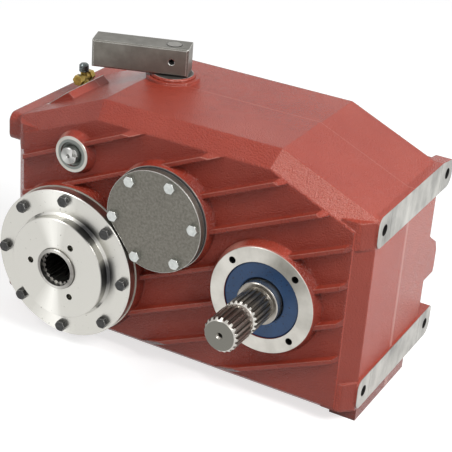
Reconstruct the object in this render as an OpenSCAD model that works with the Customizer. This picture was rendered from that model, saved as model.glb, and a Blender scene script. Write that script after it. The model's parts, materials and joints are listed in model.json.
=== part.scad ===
// Parallel-shaft gearbox with a dog clutch on its output.
// Cast housing with diagonal ribs, splined input shaft, countershaft and
// hollow splined output hub, shifted by a lever through a rail and fork.
// X runs along the housing, Y from front to back, Z up. The origin is the
// centre of the output mounting face.

/* [Housing] */
// Output axis to the left end face
case_left = 104.5; // [100:0.5:125]
// Output axis to the right end face
case_right = 395.5; // [385:0.5:420]
// Output axis down to the underside
case_bottom = 97; // [96:0.5:110]
// Output axis up to the flat top
case_top = 214.5; // [208:0.5:225]
// Output axis to the left end of the flat top
crest_left = 22; // [12:1:32]
// Output axis to the right end of the flat top
crest_right = 267; // [250:1:280]
// Fall of both shoulders below level
shoulder_slope = 22.9; // [18:0.1:26]
// Front panel plane behind the output mounting face
panel_y = 44; // [42:0.5:48]
// Rear rim plane behind the output mounting face
rear_y = 260; // [256:1:275]
// Chamfer round the front panel
edge_chamfer = 20.5; // [14:0.5:24]
// Chamfer along the bottom front edge
bottom_chamfer = 7; // [4:0.5:10]
// Side, top and bottom walls
wall = 9; // [7:0.5:10]
// Front wall behind the panel
front_wall = 12; // [10:0.5:14]
// Plane where the two mould halves meet
parting_y = 167; // [150:1:180]
// Step of the rear mould half at the parting plane
parting_step = 1.5; // [0.5:0.25:2.5]

/* [Ribs] */
// Rise of the ribs to the right
rib_angle = 24.5; // [20:0.5:28]
// Square distance from rib to rib
rib_pitch = 45; // [38:0.5:52]
// Height of the top rib where it crosses the output axis
rib_top = 155.5; // [145:0.5:165]
// Height of a rib over the panel
rib_height = 9.5; // [6:0.5:12]
// Width of the flat crest of a rib
rib_crest = 5.6; // [4:0.2:8]
// Number of ribs
rib_count = 8; // [4:1:9]

/* [Mounting pads] */
// Spacing of the pad holes from front to back
pad_pitch_y = 198; // [190:1:206]
// Spacing of the pad holes up and down
pad_pitch_z = 218; // [210:1:224]
// Height of the lower pad holes below the output axis
pad_low = 75; // [72:0.5:77]
// Front pad hole behind the output mounting face
pad_hole_y = 80; // [78:0.5:84]
// Pad width, up and down
pad_width = 40; // [34:1:42]
// Pad face proud of the right end face
pad_proud_right = 2.5; // [1:0.5:6]
// Pad face proud of the left end face
pad_proud_left = 16; // [10:0.5:20]
// Tapped hole in a pad, radius
pad_hole_r = 7; // [5:0.5:8]
// Depth of a pad hole
pad_hole_depth = 24; // [16:1:24]
// Foot length along the housing
foot_length = 34.5; // [25:0.5:45]
// Foot depth from front to back
foot_depth = 150; // [120:5:170]
// Foot height under the housing
foot_height = 17; // [12:0.5:20]

/* [Gears] */
// Gear module
gear_module = 4; // [3.9:0.05:4.1]
// Teeth on the input gear
input_teeth = 36; // [36:1:36]
// Teeth on the countershaft gear
wheel_teeth = 44; // [44:1:44]
// Teeth on the countershaft pinion
pinion_teeth = 41; // [41:1:41]
// Teeth on the output gear
output_teeth = 39; // [39:1:39]
// Direction from the output axis to the countershaft
middle_angle = 37.2; // [34:0.1:40]
// Direction from the countershaft to the input axis
input_angle = -23.9; // [-27:0.1:-20]
// Play on each tooth flank
backlash = 0.3; // [0.2:0.05:0.5]
// Face width of the gears
gear_width = 30; // [24:1:32]

/* [Output] */
// Output cover flange radius
cover_r = 100; // [96:0.5:102]
// Output cover flange thickness
cover_flange = 12.5; // [10:0.5:16]
// Raised centre of the output cover, radius
cover_centre_r = 68; // [62:0.5:72]
// Height of the raised centre
cover_step = 15; // [10:0.5:20]
// Bolt circle radius of the output cover
cover_bolt_r = 89; // [86:0.5:90]
// Thickness of the shims behind the cover
shim = 1.5; // [0.5:0.25:3]
// Circle radius of the three tapped holes
face_hole_circle = 40; // [36:0.5:44]
// Hub outside radius at the front
hub_r = 27.5; // [27:0.25:29]
// Plain bore at the mouth of the hub
hub_bore_r = 22.7; // [22.3:0.1:23.5]
// Hub end proud of the mounting face
hub_proud = 3.3; // [1:0.1:6]

/* [Input] */
// Spline outside radius
spline_r = 22.2; // [21:0.1:22.3]
// Depth of a spline groove
spline_depth = 2.3; // [1.5:0.1:2.6]
// Number of splines
spline_count = 20; // [16:1:24]
// Shaft end in front of the milled input face
shaft_reach = 100; // [85:1:120]
// Middle of the coupling groove behind the shaft end
groove_back = 44; // [36:1:52]
// Milled input ring, outside radius
input_ring_r = 68.4; // [66:0.2:72]
// Seal bore radius
seal_r = 50; // [50:0.5:52]
// Circle radius of the four tapped holes
input_hole_circle = 59; // [58:0.5:60]

/* [Countershaft cover] */
// Cover radius
middle_cover_r = 66; // [64:0.5:70]
// Cover thickness
middle_cover_t = 9.5; // [8:0.5:12]
// Gasket thickness under the cover
middle_gasket_t = 2.5; // [1:0.5:3]
// Bolt circle radius of the cover
middle_bolt_r = 56.5; // [55:0.5:58]

/* [Shift] */
// Rail axis beside the output axis
rail_x = -3; // [-8:0.5:4]
// Rail axis above the output axis
rail_z = 145; // [140:0.5:150]
// Rail radius
rail_r = 11; // [9:0.5:12]
// Lever shaft axis beside the output axis
lever_x = 47; // [42:0.5:52]
// Lever shaft axis behind the mounting face
lever_y = 184.5; // [178:0.5:186]
// Lever swing between engaged and released
shift_swing = 22; // [16:1:26]
// Crank radius inside the housing
crank_r = 42; // [38:0.5:46]
// Lever direction, turned forward from the left
lever_turn = 20.5; // [10:0.5:30]
// Lever bar length to its free end
lever_reach = 103.5; // [80:0.5:115]
// Lever bar length past the shaft
lever_tail = 21.5; // [18:0.5:28]
// Lever bar width and height
lever_bar = 36; // [30:0.5:40]
// Lever shaft radius
lever_shaft_r = 10.5; // [9:0.5:12]

/* [Fits] */
// Radial clearance of a seat or a running fit
fit_gap = 0.05; // [0.02:0.01:0.08]
// Clearance between parts that pass each other
play = 0.4; // [0.3:0.05:0.6]
// Clearance round a bolt in a cover
bolt_gap = 0.5; // [0.3:0.1:0.8]

/* [Hidden] */
$fn = 72;
eps = 0.01;

// Axes
axis_distance = gear_module * (input_teeth + wheel_teeth) / 2;
out_axis = [0, 0];
mid_axis = axis_distance * [cos(middle_angle), sin(middle_angle)];
in_axis = mid_axis + axis_distance * [cos(input_angle), sin(input_angle)];

// Planes along Y
cover_rim_y = cover_step;
boss_y = cover_rim_y + cover_flange + shim;
rail_boss_y = boss_y + 3;
inner_y = panel_y + front_wall;
rim_depth = 15;
rear_gasket = 1;
rear_plate_y = rear_y + rear_gasket;
rear_plate_t = 14;
rear_boss_y = rear_plate_y - 16;
rear_seat_y = rear_plate_y - 12;
rear_end_y = rear_plate_y + 19;
shaft_rear_y = rear_plate_y + 11;
shaft_front_y = boss_y - shaft_reach;

// Rolling bearings: bore radius, outside radius, width
output_front = [30, 65, 31];
output_rear = [30, 55, 22];
middle_size = [20, 45, 23];
input_front = [22.5, seal_r, 25];
input_rear = [20, 45, 23];
spigot = 6.5;
output_front_y = boss_y - shim + spigot;
middle_front_y = boss_y + 2.5;
input_front_y = boss_y + 14;
inner_shoulder = 5;

// Gear planes
output_gear_y = output_front_y + output_front[2] + inner_shoulder + 6;
drive_gear_y = rear_boss_y - 10 - gear_width;

// Clutch
dog_count = 6;
dog_height = 9;
dog_inner_r = 38;
dog_outer_r = 47;
collar_r = 56;
collar_groove_r = 47;
collar_width = 34;
collar_y = output_gear_y + gear_width + 1;
shift_travel = 2 * crank_r * sin(shift_swing / 2);
hub_spline_r = 33.5;
hub_spline_depth = 2.5;
fork_width = 10;
fork_y = collar_y + dog_height + 8;

// Lever stack, upwards
lever_boss_r = 35;
lever_boss_z = case_top + 3.5;
lever_z = lever_boss_z + 4.5;
crank_z = rail_z + rail_r + 12;
crank_t = 12;
crank_rest = 180 + shift_swing / 2;

// Bolts: thread radius, across-flats half, head height
m10 = [5, 8, 6.4];
m8 = [4, 6.5, 5.3];
m12_tap = 5.1;
m10_tap = 4.25;

iron_red = [0.60, 0.20, 0.16];
steel = [0.78, 0.78, 0.75];
dark_steel = [0.40, 0.38, 0.35];
black_steel = [0.15, 0.15, 0.16];
zinc = [0.86, 0.88, 0.90];

function shoulder_z(x, top, crest) = top - abs(x - crest) * tan(shoulder_slope);

// Outline of the housing in X and Z, anticlockwise from the lower left, moved
// inwards by d, and by b along the bottom.
function case_outline(d, b) =
    let (t = tan(shoulder_slope / 2), top = case_top - d,
         xl = -case_left + d, xr = case_right - d,
         cl = crest_left + d * t, cr = crest_right - d * t)
    [[xl, -case_bottom + b], [xr, -case_bottom + b],
     [xr, shoulder_z(xr, top, cr)], [cr, top],
     [cl, top], [xl, shoulder_z(xl, top, cl)]];

function involute(a) = tan(a) - a * PI / 180;

// Half the angle that a tooth covers at radius r
function tooth_half(teeth, r) =
    let (pitch_r = gear_module * teeth / 2, base_r = pitch_r * cos(20),
         a = acos(min(1, base_r / r)),
         at_pitch = 90 / teeth - backlash / pitch_r * 180 / PI)
    at_pitch + (involute(20) - involute(a)) * 180 / PI;

function gear_points(teeth) =
    let (pitch_r = gear_module * teeth / 2, root = pitch_r - 1.2 * gear_module,
         tip = pitch_r + 0.95 * gear_module, steps = 3,
         radii = [for (i = [0 : steps]) root + (tip - root) * i / steps])
    [for (k = [0 : teeth - 1], side = [-1, 1], i = [0 : steps])
        let (r = side < 0 ? radii[i] : radii[steps - i],
             a = 360 * k / teeth + side * tooth_half(teeth, r))
        r * [cos(a), sin(a)]];

// Straight-sided splines with crest radius r and groove depth d
function spline_points(count, r, d, share = 0.5) =
    [for (k = [0 : count - 1], p = [[-0.62, 0], [-0.34, 1], [0.34, 1], [0.62, 0]])
        let (a = 360 / count * (k + p[0] * share), q = r - d + d * p[1])
        q * [cos(a), sin(a)]];

// Angle of a driven gear in mesh with a driver of angle a1 along direction dir
function mesh_angle(dir, a1, z1, z2) = dir + 180 + 180 / z2 - (a1 - dir) * z1 / z2;

wheel_angle = 0;
input_gear_angle = mesh_angle(input_angle, wheel_angle, wheel_teeth, input_teeth);
pinion_angle = 0;
output_gear_angle = mesh_angle(middle_angle + 180, pinion_angle, pinion_teeth,
    output_teeth);

// ---- Building helpers ----

module along_y(y0, y1)
    translate([0, y1, 0]) rotate([90, 0, 0]) linear_extrude(y1 - y0) children();

module at_axis(p) translate([p[0], 0, p[1]]) children();

module rod(p, r, y0, y1)
    translate([p[0], y1, p[1]]) rotate([90, 0, 0]) cylinder(h = y1 - y0, r = r);

module cone(p, r0, r1, y0, y1)
    translate([p[0], y0, p[1]]) rotate([-90, 0, 0])
        cylinder(h = y1 - y0, r1 = r0, r2 = r1);

// Turned shape about an axis along Y, from points of radius and Y
module turned(p, points)
    at_axis(p) rotate([-90, 0, 0]) rotate_extrude() polygon(points);

module ring(p, r_in, r_out, y0, y1)
    difference() {
        rod(p, r_out, y0, y1);
        rod(p, r_in, y0 - 1, y1 + 1);
    }

module case_prism(d, b, y0, y1) along_y(y0, y1) polygon(case_outline(d, b));

// Wedge along the outline edge from p to q, outside the line from a to b,
// each given as Y and distance inwards
module edge_cut(p, q, a, b) {
    step = b - a;
    low = a - 0.4 * step;
    high = b + 0.4 * step;
    angle = atan2(q[1] - p[1], q[0] - p[0]);
    reach = 60;
    translate([p[0], 0, p[1]]) rotate([0, -angle, 0])
        translate([-reach, 0, 0]) rotate([90, 0, 90])
            linear_extrude(norm(q - p) + 2 * reach)
                polygon([low, high, [low[0], high[1]]]);
}

// Cuts round the front of the outline: sides from a to b, bottom from c to d
module front_cuts(a, b, c, d) {
    points = case_outline(0, 0);
    edge_cut(points[0], points[1], c, d);
    for (i = [1 : 5])
        edge_cut(points[i], points[(i + 1) % 6], a, b);
}

module on_circle(p, r, count, first)
    for (i = [0 : count - 1]) {
        angle = first + i * 360 / count;
        translate([p[0] + r * cos(angle), 0, p[1] + r * sin(angle)]) children();
    }

// Hexagon bolt with its head's seat at y, shank running back by length
module hex_bolt(size, y, length) {
    across = size[1] / cos(30);
    rod([0, 0], size[0] - fit_gap, y - 1, y + length);
    intersection() {
        translate([0, y, 0]) rotate([90, 0, 0])
            cylinder(h = size[2], r = across, $fn = 6);
        turned([0, 0], [[0, y - size[2]], [across - 1.3, y - size[2]],
            [across + 0.2, y - size[2] + 0.9], [across + 0.2, y], [0, y]]);
    }
}

// Deep-groove bearing rings and balls. size is bore, outside and width.
module race(p, size, y, inner) {
    mid = (size[0] + size[1]) / 2;
    ball = (size[1] - size[0]) * 0.29;
    land = (size[1] - size[0]) * 0.3;
    difference() {
        if (inner)
            ring(p, size[0] + fit_gap, size[0] + land, y, y + size[2]);
        else
            ring(p, size[1] - land, size[1] - fit_gap, y, y + size[2]);
        at_axis(p) translate([0, y + size[2] / 2, 0]) rotate([90, 0, 0])
            rotate_extrude() translate([mid, 0]) circle(r = ball + 0.5, $fn = 32);
    }
}

module ball_row(p, size, y) {
    mid = (size[0] + size[1]) / 2;
    ball = (size[1] - size[0]) * 0.29;
    count = floor(PI * mid / ball * 0.8);
    on_circle(p, mid, count, 0) translate([0, y + size[2] / 2, 0])
        sphere(r = ball, $fn = 32);
}

module gear_blank(p, teeth, angle, bore, y)
    at_axis(p) difference() {
        along_y(y, y + gear_width) rotate(angle) polygon(gear_points(teeth));
        rod([0, 0], bore, y - 1, y + gear_width + 1);
        // Recess in each side, between the rim and the hub
        for (side = [[y - 1, y + 6], [y + gear_width - 6, y + gear_width + 1]])
            ring([0, 0], bore + 16, gear_module * teeth / 2 - 15, side[0], side[1]);
    }

module key_slot(p, r, y0, y1, grow)
    translate([p[0] - 6 - grow, y0 - grow, p[1] + r - 5 - grow])
        cube([12 + 2 * grow, y1 - y0 + 2 * grow, 8 + 2 * grow]);

// ---- Housing ----

module ribs() {
    rise = tan(rib_angle);
    crest = rib_crest / 2;
    foot = crest + rib_height * 0.18;
    intersection() {
        for (k = [0 : rib_count - 1])
            translate([0, 0, rib_top - k * rib_pitch / cos(rib_angle)])
                rotate([0, -rib_angle, 0]) translate([-300, 0, 0])
                    rotate([90, 0, 90]) linear_extrude(900)
                        polygon([[panel_y - rib_height, -crest],
                            [panel_y - rib_height, crest],
                            [panel_y + 1, foot], [panel_y + 1, -foot]]);
        difference() {
            case_prism(edge_chamfer - 1, bottom_chamfer - 1,
                panel_y - rib_height - 1, panel_y + 2);
            front_cuts([panel_y - rib_height, edge_chamfer + 5],
                [panel_y, edge_chamfer],
                [panel_y - rib_height, bottom_chamfer + 12],
                [panel_y, bottom_chamfer]);
        }
    }
}

// Bosses on the front panel, each with a drafted wall
module front_bosses() {
    cone(out_axis, cover_r + 1, cover_r + 4, boss_y, panel_y + 1);
    cone(mid_axis, middle_cover_r + 1.5, middle_cover_r + 5, boss_y, panel_y + 1);
    cone(in_axis, input_ring_r, input_ring_r + 1.5, boss_y, boss_y + 1.5);
    cone(in_axis, input_ring_r + 1.5, input_ring_r + 6, boss_y + 1.5, panel_y + 1);
    cone([rail_x, rail_z], 23.4, 29, rail_boss_y, panel_y + 1);
}

// Bosses inside the front wall, round the bearings and the rail
module inner_bosses() {
    rod(out_axis, output_front[1] + 11, panel_y + 1,
        output_front_y + output_front[2] + inner_shoulder);
    rod(mid_axis, middle_size[1] + 10, panel_y + 1,
        middle_front_y + middle_size[2] + inner_shoulder);
    rod(in_axis, input_front[1] + 10, panel_y + 1,
        input_front_y + input_front[2] + inner_shoulder);
    rod([rail_x, rail_z], rail_r + 12, panel_y + 1, inner_y + 14);
}

// Corner of a square outline at p rounded off. dir points into the outline.
module corner_cut(p, dir, r)
    translate(p) difference() {
        square(2 * r, center = true);
        translate(r * dir) circle(r = r);
    }

// Pad bar along Y with a lobe at each end. x0 is the pad face, x1 the root.
// The upper edge is at top, and falls to top_back behind the rear lobe.
module pad(x0, x1, z, top, top_back) {
    low = -pad_width / 2;
    translate([min(x0, x1), 0, z]) rotate([90, 0, 90]) linear_extrude(abs(x1 - x0))
        difference() {
            polygon([[pad_front, low], [pad_back, low], [pad_back, top_back],
                [pad_back - 2 * pad_lobe, top], [pad_front, top]]);
            corner_cut([pad_front, low], [1, 1], 11);
            corner_cut([pad_front, top], [1, -1], 11);
            corner_cut([pad_back, low], [-1, 1], 15);
            corner_cut([pad_back, top_back], [-1, -1], 4);
        }
}

pad_lobe = 18;
pad_front = pad_hole_y - pad_lobe;
pad_back = pad_hole_y + pad_pitch_y + pad_lobe;
pad_levels = [-pad_low, pad_pitch_z - pad_low];
right_face = case_right + pad_proud_right;
left_face = -case_left - pad_proud_left;
// Thickness of the rear lobes, lower and upper
rear_lobe = [26, 34];

// Block that carries a front lobe across the corner chamfer
module lobe_block(z, height)
    translate([0, 0, z - pad_width / 2 + 1]) linear_extrude(height)
        polygon([[right_face - 2.6, pad_front + 1], [right_face - 15, pad_front - 14],
            [right_face - 20, pad_front - 16], [right_face - 40, pad_front - 16],
            [right_face - 40, pad_front + 12], [right_face - 2.6, pad_front + 12]]);

// The rear lobes stand behind the rear rim, on roots of their own
module lobe_root(z, thick, height)
    translate([case_right - thick, rear_y - 24, z - pad_width / 2 + 2])
        cube([thick, pad_back - 6 - rear_y + 24, height]);

// Puts a right end feature on the left end as well
middle_x = (case_right - case_left) / 2;
module both_ends() {
    children();
    translate([2 * middle_x, 0, 0]) mirror([1, 0, 0]) children();
}

module pads() {
    half = pad_width / 2;
    pad(right_face, case_right - 20, pad_levels[0], half, half);
    pad(right_face, case_right - 20, pad_levels[1], half, half - 6);
    pad(left_face, -case_left + 20, pad_levels[0], half, half);
    pad(left_face, -case_left + 20, pad_levels[1], half - 2.5, half - 2.5);
    both_ends() for (i = [0, 1]) {
        lobe_block(pad_levels[i], pad_width - 2 - 3 * i);
        lobe_root(pad_levels[i], rear_lobe[i], pad_width - 4 - 7 * i);
    }
}

// Thickened wall behind the front pad holes
module pad_hole_bosses()
    for (z = pad_levels) {
        rod_x([right_face - pad_hole_depth, pad_hole_y, z], pad_hole_r + 7, -5, 20);
        rod_x([left_face + pad_hole_depth, pad_hole_y, z], pad_hole_r + 7, -15, 5);
    }

module pad_holes()
    for (z = pad_levels, y = [pad_hole_y, pad_hole_y + pad_pitch_y]) {
        translate([right_face - pad_hole_depth, y, z]) rotate([0, 90, 0])
            cylinder(h = pad_hole_depth + 1, r = pad_hole_r);
        translate([left_face - 1, y, z]) rotate([0, 90, 0])
            cylinder(h = pad_hole_depth + 1, r = pad_hole_r);
    }

module feet()
    both_ends()
        translate([case_right - foot_length, foot_y, -case_bottom - foot_height])
            cube([foot_length, foot_depth, foot_height + wall]);

foot_y = 69.5;

// Lug behind the right end, with a sloping top
module rear_lug()
    translate([case_right - 10, 0, 0]) rotate([90, 0, 90])
        linear_extrude(10 - parting_step)
            polygon([[rear_y - 10, -4], [rear_y + 31, -4], [rear_y + 33, 3],
                [rear_y + 33, 28], [rear_y + 27, 42], [rear_y, 60],
                [rear_y - 10, 60]]);

// Round boss for the lever shaft, with a flared root on the left shoulder
module lever_boss()
    translate([lever_x, lever_y, 0]) {
        translate([0, 0, case_top - 34])
            cylinder(h = lever_boss_z - case_top + 34, r = lever_boss_r);
        translate([0, 0, case_top - 40])
            cylinder(h = 36, r1 = lever_boss_r + 18, r2 = lever_boss_r);
    }

// Wedge boss on the left shoulder, with a milled face for two tapped holes
breather_y = 171;
filler_y = 135;
wedge_angle = 38;
wedge_right = -62;
wedge_width = 32;
wedge_top = shoulder_z(wedge_right, case_top, crest_left) + 11;
wedge_mid = [wedge_right - wedge_width / 2,
    wedge_top - wedge_width / 2 * tan(wedge_angle)];

module breather_boss()
    along_y(108, 188)
        polygon([[wedge_right, wedge_top],
            [wedge_right - wedge_width - 4,
                wedge_top - (wedge_width + 4) * tan(wedge_angle)],
            [wedge_right - wedge_width, wedge_top - 50],
            [wedge_right + 10, wedge_top - 45],
            [wedge_right + 10, shoulder_z(wedge_right + 10, case_top, crest_left) - 1]]);

// Places something on the wedge face, pointing out of it
module on_wedge(y)
    translate([wedge_mid[0], y, wedge_mid[1]]) rotate([0, -wedge_angle, 0]) children();

module case_body() {
    difference() {
        union() {
            case_prism(0, 0, panel_y, parting_y);
            case_prism(parting_step, parting_step, parting_y - 1, rear_y);
        }
        front_cuts([panel_y, edge_chamfer], [panel_y + edge_chamfer, 0],
            [panel_y, bottom_chamfer], [panel_y + bottom_chamfer, 0]);
    }
}

// The hollow: full width inside, narrower at the rear rim
module cavity() {
    slant = edge_chamfer + wall * sqrt(2) - wall - front_wall;
    difference() {
        case_prism(wall, wall, inner_y, rear_y - rim_depth);
        front_cuts([inner_y, wall + slant], [inner_y + slant, wall],
            [inner_y, wall + 3], [inner_y + 3, wall]);
    }
    along_y(rear_y - rim_depth - 1, rear_y + 1) rear_opening();
}

rim_inset = 20;
rim_bottom = 12;
plate_inset = 12;
plate_bottom = 4;

// Outline inset by d, and by b along the bottom, cut back by g round the lobes
module notched_outline(d, b, g)
    difference() {
        polygon(case_outline(d, b));
        for (i = [0, 1], right = [0, 1]) {
            z = pad_levels[i];
            near = rear_lobe[i] + g;
            x = right ? case_right - near : -case_left + near;
            translate([right ? x : x - 200, i ? z - pad_width / 2 - g : z + pad_width / 2 + g - 200])
                square(200);
        }
    }

module rear_opening() notched_outline(rim_inset, rim_bottom, 10);

// Places along the rear rim where the cover bolts go
rear_bolts = let (p = case_outline(plate_inset + 9, plate_bottom + 9))
    concat([for (z = [-38, 45, 100]) [p[0][0], z]],
        [for (z = [-38, 32, 100]) [p[1][0], z]],
        [for (i = [0 : 4]) [-60 + i * 102, p[0][1]]],
        [for (t = [0, 1 / 3, 2 / 3, 1]) p[3] + (p[4] - p[3]) * t],
        [p[4] + (p[5] - p[4]) * 0.55, p[3] + (p[2] - p[3]) * 0.55]);

module rear_bolt_bosses()
    for (p = rear_bolts)
        rod(p, 9, rear_y - rim_depth, rear_y);

module bearing_bores() {
    rod(out_axis, output_front[1], boss_y - 1, output_front_y + output_front[2]);
    rod(out_axis, output_front[1] - 8, boss_y, inner_y + 30);
    rod(mid_axis, middle_size[1], boss_y - 1, middle_front_y + middle_size[2]);
    rod(mid_axis, middle_size[1] - 7, boss_y, inner_y + 30);
    rod(in_axis, input_front[1], boss_y - 1, input_front_y + input_front[2]);
    rod(in_axis, input_front[1] - 8, boss_y, inner_y + 30);
    rod([rail_x, rail_z], rail_r + fit_gap, rail_boss_y - 1, inner_y + 30);
    rod([rail_x, rail_z], rail_seal_r, rail_boss_y - 1, rail_boss_y + 10);
}

rail_seal_r = 16;

module front_tapped_holes() {
    on_circle(out_axis, cover_bolt_r, 8, 0)
        rod([0, 0], m10[0], boss_y - 1, boss_y + 24);
    on_circle(mid_axis, middle_bolt_r, 6, flat_angle + 30)
        rod([0, 0], m8[0], boss_y - 1, boss_y + 20);
    on_circle(in_axis, input_hole_circle, 4, 45)
        rod([0, 0], m10_tap, boss_y - 1, boss_y + 18);
}

module housing() color(iron_red) difference() {
    union() {
        difference() {
            union() {
                case_body();
                pads();
                feet();
                rear_lug();
                lever_boss();
                breather_boss();
            }
            cavity();
        }
        ribs();
        front_bosses();
        intersection() {
            inner_bosses();
            case_prism(2, 2, panel_y + 0.5, rear_y - rim_depth);
        }
        pad_hole_bosses();
        intersection() {
            rear_bolt_bosses();
            case_prism(2, 2, panel_y + 0.5, rear_y);
        }
        lever_guide();
    }
    bearing_bores();
    front_tapped_holes();
    pad_holes();
    for (p = rear_bolts)
        rod(p, m10[0], rear_y - rim_depth + 2, rear_y + 1);
    translate([lever_x, lever_y, case_top - 60])
        cylinder(h = 80, r = bush_r);
    on_wedge(filler_y) translate([0, 0, -22]) cylinder(h = 30, r = m12_tap);
    on_wedge(breather_y) translate([0, 0, -34]) cylinder(h = 44, r = m12_tap);
    plug_holes();
    detent_bore();
}

bush_r = 15;
// Thickened wall under the lever boss, round the bush
module lever_guide()
    translate([lever_x, lever_y, case_top - 34])
        cylinder(h = 30, r = bush_r + 7);

// Drain low on the rear lug side, level plug half way up the left end
module plug_holes() {
    for (z = [drain_z, level_z])
        translate([-case_left - 1, plug_y, z]) rotate([0, 90, 0])
            cylinder(h = wall + 12, r = plug_r);
}

plug_r = 9;
plug_y = 200;
drain_z = -40;
level_z = 20;

// ---- Covers, gaskets and bolts ----

module plate_outline() notched_outline(plate_inset, plate_bottom, 2.5);

module rear_cover() color(iron_red) difference() {
    union() {
        along_y(rear_plate_y, rear_plate_y + rear_plate_t) plate_outline();
        for (seat = rear_seats) {
            rod(seat[0], seat[1][1] + 8, rear_boss_y, rear_plate_y + 1);
            cone(seat[0], seat[1][1] + 12, seat[1][1] + 8,
                rear_plate_y + rear_plate_t - 1, rear_end_y);
        }
        rod([rail_x, rail_z], rail_r + 10, rear_boss_y, rear_plate_y + 1);
        cone([rail_x, rail_z], rail_r + 12, rail_r + 9,
            rear_plate_y + rear_plate_t - 1, rear_end_y + 3);
    }
    for (seat = rear_seats)
        rod(seat[0], seat[1][1], rear_boss_y - 1, rear_seat_y + seat[1][2] + 1);
    rod([rail_x, rail_z], rail_r + fit_gap, rear_boss_y - 1, rear_end_y - 3);
    for (p = rear_bolts)
        rod(p, m10[0] + bolt_gap, rear_plate_y - 1, rear_plate_y + rear_plate_t + 1);
}

rear_seats = [[out_axis, output_rear], [mid_axis, middle_size], [in_axis, input_rear]];

module rear_cover_gasket() color(dark_steel) difference() {
    along_y(rear_y, rear_plate_y) plate_outline();
    along_y(rear_y - 1, rear_plate_y + 1) rear_opening();
    for (p = rear_bolts)
        rod(p, m10[0] + bolt_gap, rear_y - 1, rear_plate_y + 1);
}

module rear_cover_bolts() color(zinc)
    for (p = rear_bolts)
        at_axis(p) translate([0, rear_plate_y + rear_plate_t, 0]) mirror([0, 1, 0])
            hex_bolt(m10, 0, rear_plate_t + rear_gasket + rim_depth - 4);

module output_cover() color(steel) difference() {
    union() {
        turned(out_axis, [[0, 0], [cover_centre_r - 1, 0], [cover_centre_r, 1],
            [cover_centre_r, cover_rim_y - 3], [cover_centre_r + 3, cover_rim_y],
            [cover_r - 1, cover_rim_y], [cover_r, cover_rim_y + 1],
            [cover_r, cover_rim_y + cover_flange], [0, cover_rim_y + cover_flange]]);
        rod(out_axis, output_front[1] - fit_gap, boss_y - shim - 1, output_front_y);
    }
    rod(out_axis, hub_r + play, -1, output_front_y + 1);
    rod(out_axis, output_seal_r, 6, output_front_y + 1);
    rod(out_axis, output_front[1] - 8, 24, output_front_y + 1);
    on_circle(out_axis, cover_bolt_r, 8, 0)
        rod([0, 0], m10[0] + bolt_gap, cover_rim_y - 1, boss_y);
    on_circle(out_axis, face_hole_circle, 3, 60)
        rod([0, 0], m10_tap, -1, face_hole_depth);
}

face_hole_depth = 18;
output_seal_r = hub_r + 7;

module output_shims() color(dark_steel) difference() {
    ring(out_axis, output_front[1] + 1, cover_r - 0.5, boss_y - shim, boss_y);
    on_circle(out_axis, cover_bolt_r, 8, 0)
        rod([0, 0], m10[0] + bolt_gap, boss_y - shim - 1, boss_y + 1);
}

module output_cover_bolts() color(black_steel)
    on_circle(out_axis, cover_bolt_r, 8, 0)
        hex_bolt(m10, cover_rim_y, cover_flange + shim + 20);

module output_seal() color([0.15, 0.12, 0.1])
    turned(out_axis, [[hub_r + 0.3, 7], [output_seal_r - fit_gap, 7],
        [output_seal_r - fit_gap, 16], [hub_r + 3, 16], [hub_r + 3, 10],
        [hub_r + 0.3, 10]]);

// The cover is cut flat beside the output flange
flat_angle = middle_angle + 180;
flat_reach = axis_distance - cover_r - 2.5;

module flat_disc(p, r, y0, y1)
    intersection() {
        rod(p, r, y0, y1);
        translate([p[0], (y0 + y1) / 2, p[1]]) rotate([0, -flat_angle, 0])
            translate([flat_reach - 2 * r, -(y1 - y0), -2 * r])
                cube([2 * r, 2 * (y1 - y0), 4 * r]);
    }

module middle_cover() color([0.50, 0.49, 0.45]) difference() {
    union() {
        flat_disc(mid_axis, middle_cover_r, middle_cover_y,
            boss_y - middle_gasket_t);
        rod(mid_axis, middle_size[1] - 0.2, boss_y - middle_gasket_t - 1,
            middle_front_y - 0.3);
    }
    on_circle(mid_axis, middle_bolt_r, 6, flat_angle + 30)
        rod([0, 0], m8[0] + bolt_gap, middle_cover_y - 1, boss_y);
}

middle_cover_y = boss_y - middle_gasket_t - middle_cover_t;

module middle_cover_gasket() color(dark_steel) difference() {
    flat_disc(mid_axis, middle_cover_r + 0.8, boss_y - middle_gasket_t, boss_y);
    rod(mid_axis, middle_size[1] + 0.5, boss_y - middle_gasket_t - 1, boss_y + 1);
    on_circle(mid_axis, middle_bolt_r, 6, flat_angle + 30)
        rod([0, 0], m8[0] + bolt_gap, boss_y - middle_gasket_t - 1, boss_y + 1);
}

module middle_cover_bolts() color(zinc)
    on_circle(mid_axis, middle_bolt_r, 6, flat_angle + 30)
        hex_bolt(m8, middle_cover_y, middle_cover_t + middle_gasket_t + 16);

// ---- Seals, bush and plugs ----

module input_seal() color([0.12, 0.25, 0.45])
    turned(in_axis, [[collar_journal_r + 0.6, boss_y + 3.5],
        [collar_journal_r + 3, boss_y + 1.2], [seal_r - 2, boss_y + 1.2],
        [seal_r - fit_gap, boss_y + 2.4], [seal_r - fit_gap, boss_y + 12],
        [seal_r - 4, boss_y + 12], [seal_r - 4, boss_y + 5],
        [collar_journal_r + 6, boss_y + 5], [collar_journal_r + 4, boss_y + 11],
        [collar_journal_r + 0.3, boss_y + 9]]);

collar_journal_r = 27.5;

module rail_seal() color([0.2, 0.2, 0.2])
    turned([rail_x, rail_z], [[rail_r + 0.3, rail_boss_y + 2.5],
        [rail_seal_r - 1.5, rail_boss_y + 0.8], [rail_seal_r - fit_gap, rail_boss_y + 1.5],
        [rail_seal_r - fit_gap, rail_boss_y + 9], [rail_r + 0.3, rail_boss_y + 9]]);

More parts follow.
